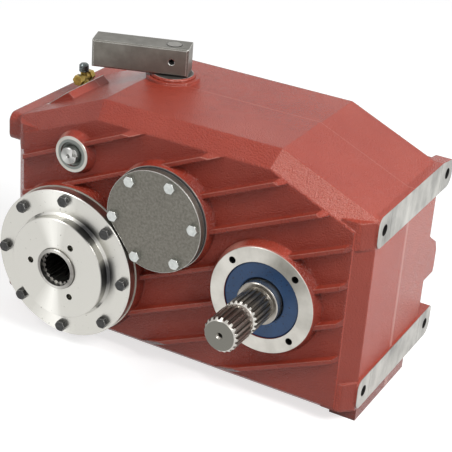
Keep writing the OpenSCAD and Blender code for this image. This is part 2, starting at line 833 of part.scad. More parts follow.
bush_low = crank_z + crank_t + 1;
module lever_bush() color([0.25, 0.25, 0.25])
    translate([lever_x, lever_y, 0]) difference() {
        union() {
            translate([0, 0, bush_low])
                cylinder(h = lever_boss_z - bush_low, r = bush_r - fit_gap);
            translate([0, 0, lever_boss_z])
                cylinder(h = 3, r1 = lever_boss_r - 5, r2 = lever_boss_r - 7);
        }
        translate([0, 0, bush_low - 1])
            cylinder(h = lever_boss_z - bush_low + 6, r = lever_shaft_r + fit_gap);
    }

module plug(z) {
    translate([-case_left + parting_step, plug_y, z]) rotate([0, 90, 0])
        cylinder(h = wall, r = plug_r - fit_gap);
    translate([-case_left + parting_step - 8, plug_y, z]) rotate([0, 90, 0])
        cylinder(h = 8, r = 12, $fn = 6);
}

module drain_plug() color(zinc) plug(drain_z);
module level_plug() color(zinc) plug(level_z);

// Brass tee on the wedge face: a stem up to a cross pipe with a hexagon at
// each end, and the steel cap above it
tee = wedge_mid + [-3, 9];
module breather_fitting() color([0.72, 0.58, 0.28]) {
    on_wedge(breather_y) translate([0, 0, -8]) cylinder(h = 8, r = m12_tap - fit_gap);
    on_wedge(breather_y) cylinder(h = 6, r = 6.5);
    translate([tee[0], breather_y, tee[1] - 7]) cylinder(h = 15.5, r = 4.5);
    rod(tee, 5.2, breather_y - 8, breather_y + 12);
    for (y = [breather_y - 15, breather_y + 9])
        translate([tee[0], y + 8, tee[1]]) rotate([90, 0, 0])
            cylinder(h = 8, r = 7.5, $fn = 6);
}

module breather_cap() color(steel)
    translate([tee[0], breather_y, tee[1] + 8.5]) rotate_extrude()
        polygon([[0, 0], [5, 0], [6.5, 1], [6.5, 3], [5.6, 3.6], [6.5, 4.2],
            [6.5, 6.5], [5.6, 7.1], [6.5, 7.7], [6.3, 9.5], [4.5, 11.5], [0, 12.2]]);

// ---- Bearings ----

module bearing_set(p, front, front_y, rear, part) {
    if (part == "outer") {
        race(p, front, front_y, false);
        race(p, rear, rear_seat_y, false);
    }
    if (part == "inner") {
        race(p, front, front_y, true);
        race(p, rear, rear_seat_y, true);
    }
    if (part == "balls") {
        ball_row(p, front, front_y);
        ball_row(p, rear, rear_seat_y);
    }
}

module output_bearing_set(part)
    bearing_set(out_axis, output_front, output_front_y, output_rear, part);
module middle_bearing_set(part)
    bearing_set(mid_axis, middle_size, middle_front_y, middle_size, part);
module input_bearing_set(part)
    bearing_set(in_axis, input_front, input_front_y, input_rear, part);

module output_bearing_outer_rings() color(steel) output_bearing_set("outer");
module output_bearing_inner_rings() color(steel) output_bearing_set("inner");
module output_bearing_balls() color(zinc) output_bearing_set("balls");
module middle_bearing_outer_rings() color(steel) middle_bearing_set("outer");
module middle_bearing_inner_rings() color(steel) middle_bearing_set("inner");
module middle_bearing_balls() color(zinc) middle_bearing_set("balls");
module input_bearing_outer_rings() color(steel) input_bearing_set("outer");
module input_bearing_inner_rings() color(steel) input_bearing_set("inner");
module input_bearing_balls() color(zinc) input_bearing_set("balls");

// ---- Output hub, gear and clutch ----

hub_spline_y = output_gear_y + gear_width + 1;
hub_spline_end = collar_y + collar_width + shift_travel + 4;
hub_bore_depth = 110;
mouth = 8;
mouth_r = hub_bore_r + 0.3;

module output_hub() color([0.62, 0.62, 0.60]) difference() {
    union() {
        turned(out_axis, [[0, -hub_proud], [hub_r - 1, -hub_proud],
            [hub_r, -hub_proud + 1], [hub_r, output_front_y], [output_front[0], output_front_y],
            [output_front[0], output_front_y + output_front[2]],
            [output_front[0] + 6, output_front_y + output_front[2]],
            [output_front[0] + 6, output_gear_y - 0.5],
            [hub_spline_r + 0.5, output_gear_y - 0.5],
            [hub_spline_r + 0.5, hub_spline_y - 0.5],
            [hub_spline_r - hub_spline_depth - 0.5, hub_spline_y - 0.5],
            [hub_spline_r - hub_spline_depth - 0.5, rear_seat_y - 2],
            [output_rear[0], rear_seat_y - 2], [output_rear[0], shaft_rear_y],
            [0, shaft_rear_y]]);
        at_axis(out_axis) along_y(hub_spline_y - 1, hub_spline_end)
            polygon(spline_points(24, hub_spline_r, hub_spline_depth));
    }
    rod(out_axis, mouth_r, -hub_proud - 1, mouth - hub_proud);
    at_axis(out_axis) along_y(mouth - hub_proud - 1, hub_bore_depth)
        polygon(spline_points(spline_count, hub_bore_r, spline_depth));
    rod(out_axis, hub_bore_r - spline_depth + 0.2, hub_bore_depth - 1, shaft_rear_y - 20);
}

bush_t = 2.5;
module output_gear_bush() color([0.70, 0.52, 0.30])
    ring(out_axis, hub_spline_r + 0.5 + fit_gap, hub_spline_r + 0.5 + bush_t - fit_gap,
        output_gear_y, output_gear_y + gear_width);

// Axial dogs on a face at y, height h towards +Y, filling share of the circle
module dogs(y, h, share, first)
    at_axis(out_axis) along_y(y, y + h)
        for (i = [0 : dog_count - 1])
            rotate(first + i * 360 / dog_count)
                intersection() {
                    difference() {
                        circle(r = dog_outer_r);
                        circle(r = dog_inner_r);
                    }
                    polygon([[0, 0], 70 * [cos(share / 2), -sin(share / 2)],
                        70 * [cos(share / 2), sin(share / 2)]]);
                }

dog_angle = 360 / dog_count / 2 - 2;

module output_gear() color(dark_steel) {
    gear_blank(out_axis, output_teeth, output_gear_angle,
        hub_spline_r + 0.5 + bush_t, output_gear_y);
    dogs(output_gear_y + gear_width - eps, dog_height, dog_angle, 0);
}

module clutch_collar() color(dark_steel) difference() {
    union() {
        turned(out_axis, [[0, collar_y + dog_height], [collar_r - 1, collar_y + dog_height],
            [collar_r, collar_y + dog_height + 1], [collar_r, fork_y - play],
            [collar_groove_r, fork_y - play], [collar_groove_r, fork_y + fork_width + play],
            [collar_r, fork_y + fork_width + play], [collar_r, collar_y + collar_width - 1],
            [collar_r - 1, collar_y + collar_width], [0, collar_y + collar_width]]);
        dogs(collar_y + 0.5, dog_height, dog_angle, 180 / dog_count);
    }
    at_axis(out_axis) along_y(collar_y - 1, collar_y + collar_width + 1)
        polygon(spline_points(24, hub_spline_r + play, hub_spline_depth, 0.56));
    rod(out_axis, hub_spline_r - hub_spline_depth + play, collar_y - 1,
        collar_y + collar_width + 1);
    // Clearance over the hub's gear seat while the dogs are in mesh
    rod(out_axis, hub_spline_r + 1.2, collar_y - 1, collar_y + 2);
}

// ---- Countershaft ----

mid_seat_r = 25;
mid_collar_r = 31;
pinion_y = output_gear_y;
mid_collar_y = pinion_y - 8;

module countershaft() color([0.55, 0.54, 0.52]) difference() {
    turned(mid_axis, [[0, middle_front_y], [middle_size[0] - 1, middle_front_y],
        [middle_size[0], middle_front_y + 1],
        [middle_size[0], middle_front_y + middle_size[2]],
        [mid_collar_r, middle_front_y + middle_size[2]], [mid_collar_r, pinion_y],
        [mid_seat_r, pinion_y], [mid_seat_r, rear_seat_y - 6],
        [middle_size[0], rear_seat_y - 6],
        [middle_size[0], shaft_rear_y - 1], [middle_size[0] - 1, shaft_rear_y],
        [0, shaft_rear_y]]);
    key_slot(mid_axis, mid_seat_r, pinion_y + 4, pinion_y + gear_width - 4, 0.05);
    key_slot(mid_axis, mid_seat_r, drive_gear_y + 4, drive_gear_y + gear_width - 4, 0.05);
}

module countershaft_keys() color(steel) {
    key_slot(mid_axis, mid_seat_r, pinion_y + 4, pinion_y + gear_width - 4, 0);
    key_slot(mid_axis, mid_seat_r, drive_gear_y + 4, drive_gear_y + gear_width - 4, 0);
}

module keyed_gear(p, teeth, angle, bore, y) difference() {
    gear_blank(p, teeth, angle, bore + fit_gap, y);
    key_slot(p, bore, y - 2, y + gear_width + 2, 0.05);
}

module countershaft_pinion() color(dark_steel)
    keyed_gear(mid_axis, pinion_teeth, pinion_angle, mid_seat_r, pinion_y);

module countershaft_gear() color(dark_steel)
    keyed_gear(mid_axis, wheel_teeth, wheel_angle, mid_seat_r, drive_gear_y);

module countershaft_spacers() color(steel) {
    ring(mid_axis, mid_seat_r + fit_gap, mid_seat_r + 5, pinion_y + gear_width,
        drive_gear_y);
    ring(mid_axis, middle_size[0] + fit_gap, middle_size[0] + 7, rear_seat_y - 6,
        rear_seat_y);
}

// ---- Input shaft ----

in_seat_r = 22.5;
collar_front_y = boss_y - 9;
groove_y = shaft_front_y + groove_back;

module input_shaft() color([0.58, 0.56, 0.52]) difference() {
    union() {
        turned(in_axis, [[0, boss_y - 14], [spline_r - 1, boss_y - 14],
            [spline_r, boss_y - 10], [spline_r + 2, collar_front_y - 1],
            [collar_journal_r - 1.2, collar_front_y - 1],
            [collar_journal_r, collar_front_y + 0.2],
            [collar_journal_r, input_front_y],
            [in_seat_r, input_front_y], [in_seat_r, rear_seat_y - 6],
            [input_rear[0], rear_seat_y - 6], [input_rear[0], shaft_rear_y - 1],
            [input_rear[0] - 1, shaft_rear_y], [0, shaft_rear_y]]);
        intersection() {
            at_axis(in_axis) along_y(shaft_front_y, boss_y - 12)
                polygon(spline_points(spline_count, spline_r, spline_depth));
            turned(in_axis, [[0, shaft_front_y], [spline_r - 3.7, shaft_front_y],
                [spline_r + 0.4, shaft_front_y + 5], [spline_r + 0.4, groove_y - 5.4],
                [spline_r - 3, groove_y - 2.5], [spline_r - 3, groove_y + 2.5],
                [spline_r + 0.4, groove_y + 5.4], [spline_r + 0.4, boss_y - 12],
                [0, boss_y - 12]]);
        }
    }
    turned(in_axis, [[0, shaft_front_y - 1], [5, shaft_front_y - 1], [4, shaft_front_y + 0.6],
        [2.6, shaft_front_y + 3], [2.6, shaft_front_y + 9], [0, shaft_front_y + 11]]);
    key_slot(in_axis, in_seat_r, drive_gear_y + 4, drive_gear_y + gear_width - 4, 0.05);
}

module input_key() color(steel)
    key_slot(in_axis, in_seat_r, drive_gear_y + 4, drive_gear_y + gear_width - 4, 0);

module input_gear() color(dark_steel)
    keyed_gear(in_axis, input_teeth, input_gear_angle, in_seat_r, drive_gear_y);

module input_spacers() color(steel) {
    ring(in_axis, in_seat_r + fit_gap, in_seat_r + 5,
        input_front_y + input_front[2], drive_gear_y);
    ring(in_axis, input_rear[0] + fit_gap, input_rear[0] + 6, rear_seat_y - 6,
        rear_seat_y);
}

// ---- Shift rail and fork ----

rail_front_y = rail_boss_y - 7.5;
rail_rear_y = rear_end_y - 3 - shift_travel - 2;
fork_hub_y = fork_y - 6;
fork_hub_end = lever_y + 20;
fork_pin_y = fork_y + fork_width + 20;
// Crank pin position in the engaged rest pose
pin_rest = [lever_x + crank_r * cos(crank_rest), lever_y + crank_r * sin(crank_rest)];
pin_r = 7;

module shift_rail() color(steel) difference() {
    turned([rail_x, rail_z], [[0, rail_front_y], [rail_r - 1, rail_front_y],
        [rail_r, rail_front_y + 1], [rail_r, rail_rear_y - 1],
        [rail_r - 1, rail_rear_y], [0, rail_rear_y]]);
    turned([rail_x, rail_z], [[0, rail_front_y - 1], [3, rail_front_y - 1],
        [1.8, rail_front_y + 2], [0, rail_front_y + 6]]);
    // Flat notch in the visible end
    translate([rail_x + rail_r - 5, rail_front_y - 1, rail_z + 1])
        cube([8, 5, 12]);
    rod_x([rail_x, fork_pin_y, rail_z], 4, -rail_r - 1, rail_r + 1);
    // Track for the stop ball, with a pocket at each end of the travel
    rod([detent_x - 1.5, rail_z], detent_r, detent_y - shift_travel, detent_y);
    for (travel = [0, shift_travel])
        translate([detent_x - 1.5, detent_y - travel, rail_z])
            sphere(r = detent_r, $fn = 32);
}

module rod_x(p, r, x0, x1)
    translate([p[0] + x0, p[1], p[2]]) rotate([0, 90, 0]) cylinder(h = x1 - x0, r = r);

detent_y = inner_y + 1;
detent_r = 4;
detent_x = rail_x - rail_r;

module detent_bore()
    rod_x([detent_x, detent_y, rail_z], detent_r + 0.3, -90, 2);

module detent_ball() color(zinc)
    translate([detent_x - 1.5 - 0.4, detent_y, rail_z]) sphere(r = detent_r - 0.1, $fn = 32);

module detent_spring() color(steel)
    rod_x([detent_x, detent_y, rail_z], detent_r - 1, -24, -5.8);

module detent_plug() color(zinc)
    rod_x([detent_x, detent_y, rail_z], detent_r + 0.2, -36, -24);

module shift_fork() color([0.55, 0.52, 0.48]) difference() {
    union() {
        rod([rail_x, rail_z], rail_r + 9, fork_hub_y, fork_hub_end);
        // Blade down to the collar
        along_y(fork_y, fork_y + fork_width) difference() {
            union() {
                circle(r = collar_r + 12);
                polygon([[rail_x - 18, rail_z], [rail_x + 18, rail_z],
                    [44, 30], [-44, 30]]);
            }
            circle(r = collar_groove_r + play);
            translate([-100, -100]) square([200, 100]);
            translate([-collar_groove_r - play, -20])
                square([2 * (collar_groove_r + play), 20]);
        }
        // Lug for the crank pin
        translate([rail_x - 18, pin_rest[1] - 17, rail_z + 8])
            cube([36, 34, rail_r + 2]);
    }
    rod([rail_x, rail_z], rail_r + fit_gap, fork_hub_y - 1, fork_hub_end + 1);
    // Slot across the lug
    translate([rail_x - 20, pin_rest[1] - pin_r - play, rail_z + rail_r + 1])
        cube([40, 2 * (pin_r + play), 30]);
    rod_x([rail_x, fork_pin_y, rail_z], 4, -40, 40);
}

module fork_pin() color(zinc)
    rod_x([rail_x, fork_pin_y, rail_z], 4 - fit_gap, -rail_r - 8, rail_r + 8);

// ---- Lever shaft, crank and lever ----

module lever_shaft() color(steel) difference() {
    translate([lever_x, lever_y, crank_z])
        cylinder(h = lever_z + lever_bar + 0.4 - crank_z, r = lever_shaft_r);
    lever_frame() translate([0, -60, lever_z + lever_bar / 2]) rotate([-90, 0, 0])
        cylinder(h = 120, r = 4);
}

// Local frame of the lever: X runs to the tail, Z up
module lever_frame()
    translate([lever_x, lever_y, 0]) rotate([0, 0, lever_turn]) children();

module shift_crank() color(dark_steel)
    translate([lever_x, lever_y, crank_z]) rotate([0, 0, crank_rest])
        linear_extrude(crank_t) difference() {
            union() {
                circle(r = lever_shaft_r + 7);
                translate([crank_r, 0]) circle(r = pin_r + 5);
                translate([4, -9]) square([crank_r - 6, 18]);
            }
            circle(r = lever_shaft_r + fit_gap);
            translate([crank_r, 0]) circle(r = pin_r - 2 + fit_gap);
        }

module crank_pin() color(zinc)
    translate([pin_rest[0], pin_rest[1], 0]) {
        translate([0, 0, rail_z + rail_r + 1.5])
            cylinder(h = crank_z - rail_z - rail_r - 1.5, r = pin_r);
        translate([0, 0, crank_z - 1]) cylinder(h = crank_t + 1, r = pin_r - 2);
    }

// Bar with chamfered long edges, drilled across its end for a pin
module shift_lever() color([0.45, 0.42, 0.38]) difference() {
    lever_frame() difference() {
        translate([-lever_reach, -lever_bar / 2, lever_z])
            cube([lever_reach + lever_tail, lever_bar, lever_bar]);
        for (x = [-lever_reach, lever_tail], y = [-lever_bar / 2, lever_bar / 2])
            translate([x, y, lever_z - 1]) rotate([0, 0, 45])
                translate([-1.8, -1.8, 0]) cube([3.6, 3.6, lever_bar + 2]);
        for (y = [-lever_bar / 2, lever_bar / 2], z = [lever_z, lever_z + lever_bar])
            translate([-lever_reach - 1, y, z]) rotate([45, 0, 0])
                translate([0, -1.2, -1.2]) cube([lever_reach + lever_tail + 2, 2.4, 2.4]);
    }
    translate([lever_x, lever_y, lever_z - 1])
        cylinder(h = lever_bar + 2, r = lever_shaft_r + fit_gap);
    lever_frame() translate([0, -60, lever_z + lever_bar / 2]) rotate([-90, 0, 0])
        cylinder(h = 120, r = 4);
}

module lever_pin() color(zinc)
    lever_frame() translate([0, -lever_bar / 2 + 3, lever_z + lever_bar / 2])
        rotate([-90, 0, 0]) difference() {
            cylinder(h = lever_bar - 6, r = 4 - fit_gap);
            translate([0, 0, -1]) cylinder(h = lever_bar, r = 2.2);
        }

housing();
rear_cover();
rear_cover_gasket();
rear_cover_bolts();
output_cover();
output_shims();
output_cover_bolts();
output_seal();
middle_cover();
middle_cover_gasket();
middle_cover_bolts();
input_seal();
rail_seal();
lever_bush();
output_bearing_outer_rings();
middle_bearing_outer_rings();
input_bearing_outer_rings();
output_hub();
output_bearing_inner_rings();
output_bearing_balls();
output_gear();
output_gear_bush();
clutch_collar();
countershaft();
countershaft_gear();
countershaft_pinion();
countershaft_spacers();
countershaft_keys();
middle_bearing_inner_rings();
middle_bearing_balls();
input_shaft();
input_gear();
input_key();
input_spacers();
input_bearing_inner_rings();
input_bearing_balls();
shift_rail();
shift_fork();
fork_pin();
lever_shaft();
shift_crank();
crank_pin();
shift_lever();
lever_pin();
detent_ball();
detent_spring();
detent_plug();
breather_fitting();
breather_cap();
drain_plug();
level_plug();
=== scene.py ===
import json
import math

import bpy
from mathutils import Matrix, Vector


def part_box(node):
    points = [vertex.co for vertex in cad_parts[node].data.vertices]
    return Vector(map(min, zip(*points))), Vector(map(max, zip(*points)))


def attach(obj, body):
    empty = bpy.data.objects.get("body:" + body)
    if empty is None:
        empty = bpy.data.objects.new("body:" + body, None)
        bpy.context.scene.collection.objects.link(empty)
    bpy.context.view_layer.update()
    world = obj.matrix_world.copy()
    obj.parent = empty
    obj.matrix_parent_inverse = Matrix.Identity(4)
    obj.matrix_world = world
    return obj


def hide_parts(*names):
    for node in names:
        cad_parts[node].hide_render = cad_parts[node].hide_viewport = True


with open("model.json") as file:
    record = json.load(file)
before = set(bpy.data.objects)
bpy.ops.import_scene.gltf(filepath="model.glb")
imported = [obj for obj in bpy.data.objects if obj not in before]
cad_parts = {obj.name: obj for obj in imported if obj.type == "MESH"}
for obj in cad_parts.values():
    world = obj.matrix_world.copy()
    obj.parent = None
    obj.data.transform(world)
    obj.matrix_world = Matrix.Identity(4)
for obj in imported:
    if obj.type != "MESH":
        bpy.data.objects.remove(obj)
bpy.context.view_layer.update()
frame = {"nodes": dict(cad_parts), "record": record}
NODES = frame["nodes"]

# Sizes and places, in metres and degrees


def low_of(node):
    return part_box(node)[0]


def high_of(node):
    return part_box(node)[1]


def centre(node):
    return [(a + b) / 2 for a, b in zip(low_of(node), high_of(node))]


MOUNTS = {mount["name"]: mount for mount in frame["record"]["mounts"]}
PAD = MOUNTS["right_end"]
FACE = MOUNTS["input_face"]
MM_ACROSS = 2000  # from a distance across in mm to half of it in metres

# Axes along Y, and the upright axis of the lever
OUTPUT = centre("output_cover")
INPUT = centre("input_shaft")
RAIL = centre("shift_rail")
LEVER = centre("lever_shaft")

# Casting
CASE_LOW = low_of("housing")
CASE_HIGH = high_of("housing")
CASE_MIDDLE = (CASE_LOW[0] + CASE_HIGH[0]) / 2
CASE_REACH = CASE_HIGH[0] - CASE_MIDDLE
BOSS_FACE = high_of("output_shims")[1]
PANEL_Y = 0.044
PARTING = 0.167
FOOT_TOP = -0.0975
PAD_SEAMS = (0.098, 0.255)
PAD_HOLE_RADIUS = 0.0070
PAD_HOLE_DEPTH = 0.026
TAPPED_RADIUS = 0.00425
TAPPED_END = PANEL_Y + 0.020
END_DEPTH = 0.020
WEDGE_MID = (-0.078, 0.1775)
WEDGE_ANGLE = math.radians(38)
WEDGE_RIGHT = -0.0600
WEDGE_FRONT, WEDGE_BACK = 0.106, 0.190

# Shift rail and lever
RAIL_FACE = low_of("shift_rail")[1] + 0.0075
RAIL_RING_RADIUS = 0.0236
RAIL_LIP_RADIUS = 0.0196
LEVER_SHAFT_RADIUS = (high_of("lever_shaft")[0] - low_of("lever_shaft")[0]) / 2
BUSH_RADIUS = 0.0262

# Input shaft
SHAFT_TIP = low_of("input_shaft")[1]
SHAFT_GROOVE = SHAFT_TIP + 0.044
SHAFT_GROOVE_REACH = 0.0052
SPLINE_END = low_of("input_seal")[1] - 0.010
SPLINE_ROOT = 0.0212
COLLAR_GROOVE = 0.0248
SEAL_LIP_RADIUS = 0.0293

# Output cover and its bolts
COVER_STEP = 0.068
STEP_INNER = COVER_STEP - 0.0008
STEP_OUTER = COVER_STEP + 0.0075
BOLT_COUNT = 8
BOLT_CIRCLE = 0.089
BOLT_SHANK = 0.0060
BOLT_REACH = 0.0120
BOLT_HEAD = 0.0064
HEAD_SHARE = 0.82
MERGE = 0.00001
HEAD_SLACK = 0.0002

# How deep a milled face or a hole's rim reaches, and how soft its edge is
FACE_DEPTH = 0.0006
HOLE_RIM = 0.0003
CRISP = 0.0004
SOFT = 0.0006

# Studio
MIDDLE = (0.14, 0.1, 0.05)
FLOOR_SIZE = 12
FLOOR_TONE = 0.5
FLOOR_GLOW = 0.7
AMBIENT = 0.32
KEY = {"place": (2.0, -0.25, 1.75), "size": 1.05, "watts": 64}
FILL = {"place": (-0.9, -0.95, 1.85), "size": 0.6, "watts": 9}
CAMERA_PLACE = (0.892, -1.275, 0.840)
CAMERA_TURN = (63.63, -3.96, 29.22)
CAMERA_LENS = 110.86


# Node trees written as expressions


MIX_FACTOR, MIX_FIRST, MIX_SECOND, MIX_RESULT = 0, 6, 7, 2  # sockets of a Mix node set to colours
BEVEL_SAMPLES = 6


class Wire:
    """A socket whose operators add Math nodes."""

    def __init__(self, graph, socket):
        self.graph = graph
        self.socket = socket

    def math(self, operation, *others, clamp=False):
        return self.graph.math(operation, self, *others, clamp=clamp)

    def __add__(self, other):
        return self.math("ADD", other)

    def __sub__(self, other):
        return self.math("SUBTRACT", other)

    def __mul__(self, other):
        return self.math("MULTIPLY", other)

    def __truediv__(self, other):
        return self.math("DIVIDE", other)

    __radd__ = __add__
    __rmul__ = __mul__

    def __rsub__(self, other):
        return self.graph.math("SUBTRACT", other, self)

    def __rtruediv__(self, other):
        return self.graph.math("DIVIDE", other, self)

    def __abs__(self):
        return self.math("ABSOLUTE")

    def at_least(self, other):
        return self.math("MAXIMUM", other)

    def at_most(self, other):
        return self.math("MINIMUM", other)

    def above(self, edge, soft):
        """0 below edge and 1 above it, over a soft width."""
        return (self - (edge - soft / 2)).math("DIVIDE", soft, clamp=True)

    def below(self, edge, soft):
        return 1.0 - self.above(edge, soft)


class Graph:
    """A node tree with short ways to add and join its nodes."""

    def __init__(self, tree):
        self.tree = tree
        tree.nodes.clear()

    def node(self, kind, settings=None, sockets=None, output=0):
        """One node: its settings first, then the values or links of its sockets."""
        made = self.tree.nodes.new("ShaderNode" + kind)
        for key, value in (settings or {}).items():
            setattr(made, key, value)
        for key, value in (sockets or {}).items():
            if isinstance(value, Wire):
                self.tree.links.new(value.socket, made.inputs[key])
            else:
                made.inputs[key].default_value = value
        return Wire(self, made.outputs[output]) if made.outputs else None

    def math(self, operation, *values, clamp=False):
        return self.node("Math", {"operation": operation, "use_clamp": clamp}, dict(enumerate(values)))

    def distance(self, first, second):
        """Length of two lengths at right angles."""
        return (first * first + second * second).math("SQRT")

    def seen_directly(self):
        """1 where the camera, a mirror or glass sees it, 0 where it only lights."""
        rays = [self.node("LightPath", output="Is %s Ray" % kind)
                for kind in ("Camera", "Glossy", "Transmission")]
        return rays[0].at_least(rays[1]).at_least(rays[2])


class Finish(Graph):
    """A material laid out along the part's own axes."""

    def __init__(self, name):
        self.material = bpy.data.materials.new(name)
        self.material.use_nodes = True
        super().__init__(self.material.node_tree)
        self.place = self.node("TexCoord", output="Object")
        self.x, self.y, self.z = self.split(self.place)

    def split(self, vector):
        """The X, Y and Z of a vector."""
        first = self.node("SeparateXYZ", sockets={"Vector": vector})
        return [Wire(self, output) for output in first.socket.node.outputs]

    def noise(self, scale, detail=2.0, roughness=0.5, place=None):
        return self.node("TexNoise", sockets={
            "Vector": place or self.place, "Scale": scale, "Detail": detail, "Roughness": roughness})

    def streaks(self, scales, detail, roughness):
        """Noise with its own scale along each axis, for grain that runs one way."""
        place = self.node("Mapping", sockets={"Vector": self.place, "Scale": scales})
        return self.noise(1.0, detail, roughness, place)

    def radius(self, axis):
        """Distance from an axis along Y."""
        return self.distance(self.x - axis[0], self.z - axis[2])

    def upright_radius(self, axis):
        """Distance from an axis along Z."""
        return self.distance(self.x - axis[0], self.y - axis[1])

    def angle(self, axis, degrees):
        """Angle about an axis along Y, from a direction given in degrees."""
        return (self.z - axis[2]).math("ARCTAN2", self.x - axis[0]) - math.radians(degrees)

    def fan(self, axis, scale):
        """Noise that changes only with the angle about an axis along Y."""
        radius = self.radius(axis) / scale
        spoke = self.node("CombineXYZ", sockets={
            "X": (self.x - axis[0]) / radius, "Y": 0.0, "Z": (self.z - axis[2]) / radius})
        return self.noise(1.0, place=spoke)

    def sweep(self, axis, degrees, sharp):
        """Two opposite bright fans about an axis along Y, a painted reflection as on a faced part."""
        wave = (self.angle(axis, degrees) * 2.0).math("COSINE") * 0.5 + 0.5
        return wave.math("POWER", sharp)

    def ray(self, axis, degrees, sharp):
        """One fan about an axis along Y, brightest in one direction."""
        return self.angle(axis, degrees).math("COSINE").at_least(0.0).math("POWER", sharp)

    def rings(self, radius, pitch):
        """Fine turning marks, from 0 to 1."""
        return (radius * (2 * math.pi / pitch)).math("SINE") * 0.5 + 0.5

    def rounded(self, size):
        """Normals turned as if edges were rounded."""
        return self.node("Bevel", {"samples": BEVEL_SAMPLES}, {"Radius": size})

    def edges(self, size):
        """1 along sharp edges, where handling wears a surface bright."""
        flat = self.node("NewGeometry", output="Normal")
        turned = self.node("VectorMath", {"operation": "DOT_PRODUCT"}, {0: self.rounded(size), 1: flat},
                           "Value")
        return (1.0 - turned).above(0.06, 0.10)

    def near_grid(self, first, second, centre, half):
        """Distance to the nearest of four points about centre, half apart."""
        return self.distance(abs(abs(first - centre[0]) - half[0]), abs(abs(second - centre[1]) - half[1]))

    def blend(self, factor, first, second):
        """Colour between two, by factor."""
        first, second = [opaque(tone) if isinstance(tone, tuple) else tone for tone in (first, second)]
        sockets = {MIX_FACTOR: factor, MIX_FIRST: first, MIX_SECOND: second}
        return self.node("Mix", {"data_type": "RGBA"}, sockets, MIX_RESULT)

    def over(self, factor, below, above):
        """One shader over another, by factor."""
        return self.node("MixShader", sockets={0: factor, 1: below, 2: above})

    def bump(self, height, distance, strength, normal=None):
        sockets = {"Height": height, "Distance": distance, "Strength": strength}
        if normal:
            sockets["Normal"] = normal
        return self.node("Bump", sockets=sockets)

    def surface(self, tone, metallic, roughness, normal=None, specular=0.5):
        """Principled surface; a plain tuple is a colour that doesn't vary."""
        tone = opaque(tone) if isinstance(tone, tuple) else tone
        sockets = {"Base Color": tone, "Metallic": metallic, "Roughness": roughness,
                   "Specular IOR Level": specular}
        if normal:
            sockets["Normal"] = normal
        return self.node("BsdfPrincipled", sockets=sockets)

    def done(self, surface):
        self.node("OutputMaterial", sockets={"Surface": surface})
        return self.material


def opaque(tone):
    return (*tone, 1.0)


# Paint

PAINT = (0.335, 0.038, 0.019)
PAINT_WORN = (0.40, 0.060, 0.034)
PAINT_DEEP = (0.20, 0.022, 0.013)
# Painted shade: darker paint on the panels between the ribs.
PANEL_SHADE = (0.17, 0.030, 0.020)
# Painted shade: darker paint on the upright chamfer at the right of the front.
CORNER_SHADE = (0.10, 0.017, 0.011)
# Painted highlight: pale sparkling sheen on the chamfer below the right slope.
SLOPE_SHEEN_HIGHLIGHT = (0.74, 0.40, 0.34)
# Painted highlight: light paint on the upper edges of the ribs.
CREST_HIGHLIGHT = (0.72, 0.32, 0.25)
# Painted shade: dark paint on the undersides and right-facing walls of the relief.
HOLLOW_SHADE = (0.085, 0.014, 0.010)
PAINT_FOOT = (0.075, 0.014, 0.010)
# Painted highlight: lighter paint along the parting line.
PARTING_HIGHLIGHT = (0.62, 0.24, 0.18)
# Painted highlight: lighter paint on the ridge in front of the parting, on the end faces.
RIDGE_HIGHLIGHT = (0.66, 0.38, 0.33)
# Painted highlight: lighter, pinker paint on the rear half of both end faces.
END_HIGHLIGHT = (0.66, 0.42, 0.38)


class PaintedShape:
    """Masks of the casting's forms, from their places and the way they face, for the shade and highlights
    painted into the paint.
    """

    def __init__(self, finish):
        self.finish = finish
        self.across, self.facing, self.upward = finish.split(finish.rounded(0.0026))

    def panel(self):
        """Flat panels between the ribs of the front, where shade is painted into the paint."""
        y = self.finish.y
        return y.above(PANEL_Y - 0.0012, 0.003) * y.below(PANEL_Y + 0.001, 0.002)

    def behind_panel(self):
        return self.finish.y.above(PANEL_Y + 0.0012, 0.001)

    def upright_corner(self):
        """The upright chamfer at the right of the front, where shade is painted."""
        turned = self.facing.below(-0.35, 0.20) * self.across.above(0.40, 0.20)
        return turned * abs(self.upward).below(0.16, 0.12) * self.behind_panel()

    def sloping_corner(self):
        """The chamfer below the right slope, where a sparkling sheen is painted as a highlight."""
        turned = self.facing.below(-0.30, 0.20) * self.across.above(0.16, 0.12)
        return turned * self.upward.above(0.20, 0.12) * self.behind_panel()

    def relief(self):
        """Ribs and lobes that stand before the panels."""
        y = self.finish.y
        return y.below(PANEL_Y + 0.0004, 0.0006) * y.above(BOSS_FACE + 0.0010, 0.0010)

    def crest(self):
        """Sloping upper edges of the ribs, where a highlight is painted."""
        turned = self.upward.above(0.42, 0.30) * self.upward.below(0.84, 0.10)
        return turned * self.across.below(0.25, 0.20) * self.finish.y.below(PANEL_Y - 0.002, 0.002)

    def hollow(self):
        """Undersides, and to a lesser degree walls that face right, where shade is painted."""
        under = (self.upward * -1.0).above(0.40, 0.50)
        return under.at_least(self.across.above(0.45, 0.30) * 0.75)

    def foot(self):
        return self.finish.z.below(FOOT_TOP, 0.002)

    def ends(self):
        """Both end faces."""
        outer = abs(self.finish.x - CASE_MIDDLE).above(CASE_REACH - END_DEPTH, 0.004)
        return outer * abs(self.across).above(0.90, 0.08)

    def parting_line(self):
        """Fine line of the parting, raised in the bump and painted lighter as a highlight."""
        return abs(self.finish.y - PARTING).below(0.0010, 0.0012)

    def ridge(self):
        """Soft ridge in front of the parting, painted lighter on the end faces as a highlight."""
        return abs(self.finish.y - PARTING + 0.0030).below(0.0042, 0.0040)

    # Rear half; on the end faces it gets a painted highlight.
    def rear_half(self):
        return self.finish.y.above(PARTING, 0.001)


